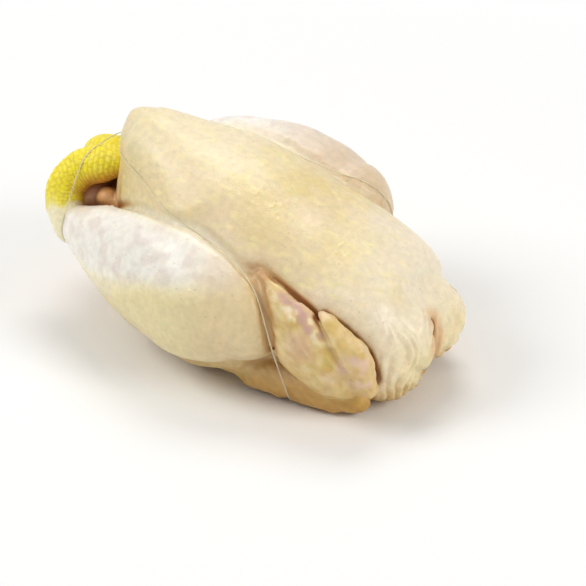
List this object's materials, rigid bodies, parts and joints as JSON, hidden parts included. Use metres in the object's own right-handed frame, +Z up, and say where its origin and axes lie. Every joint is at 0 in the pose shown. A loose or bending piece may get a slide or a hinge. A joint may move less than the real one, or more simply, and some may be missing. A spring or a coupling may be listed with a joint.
{
  "type": "whole raw chicken",
  "caption": "Whole raw chicken lying on its back, legs and wings folded and trussed with thin elastic.",
  "frame": {"origin": "on the ground, under the middle of the bird's bounding box", "axes": "+X toward the neck end, +Y toward the leg that rides higher, +Z up, from the back to the breast"},
  "size_m": [0.263, 0.1759, 0.1309],
  "materials": {
    "skin": "moist raw chicken skin, cream with soft yellow patches, the shanks bright yellow",
    "elastic": "thin translucent elastic"
  },
  "bodies": {
    "root": {"chicken": "skin", "hock_elastic": "elastic", "body_elastic": "elastic"}
  },
  "joints": []
}
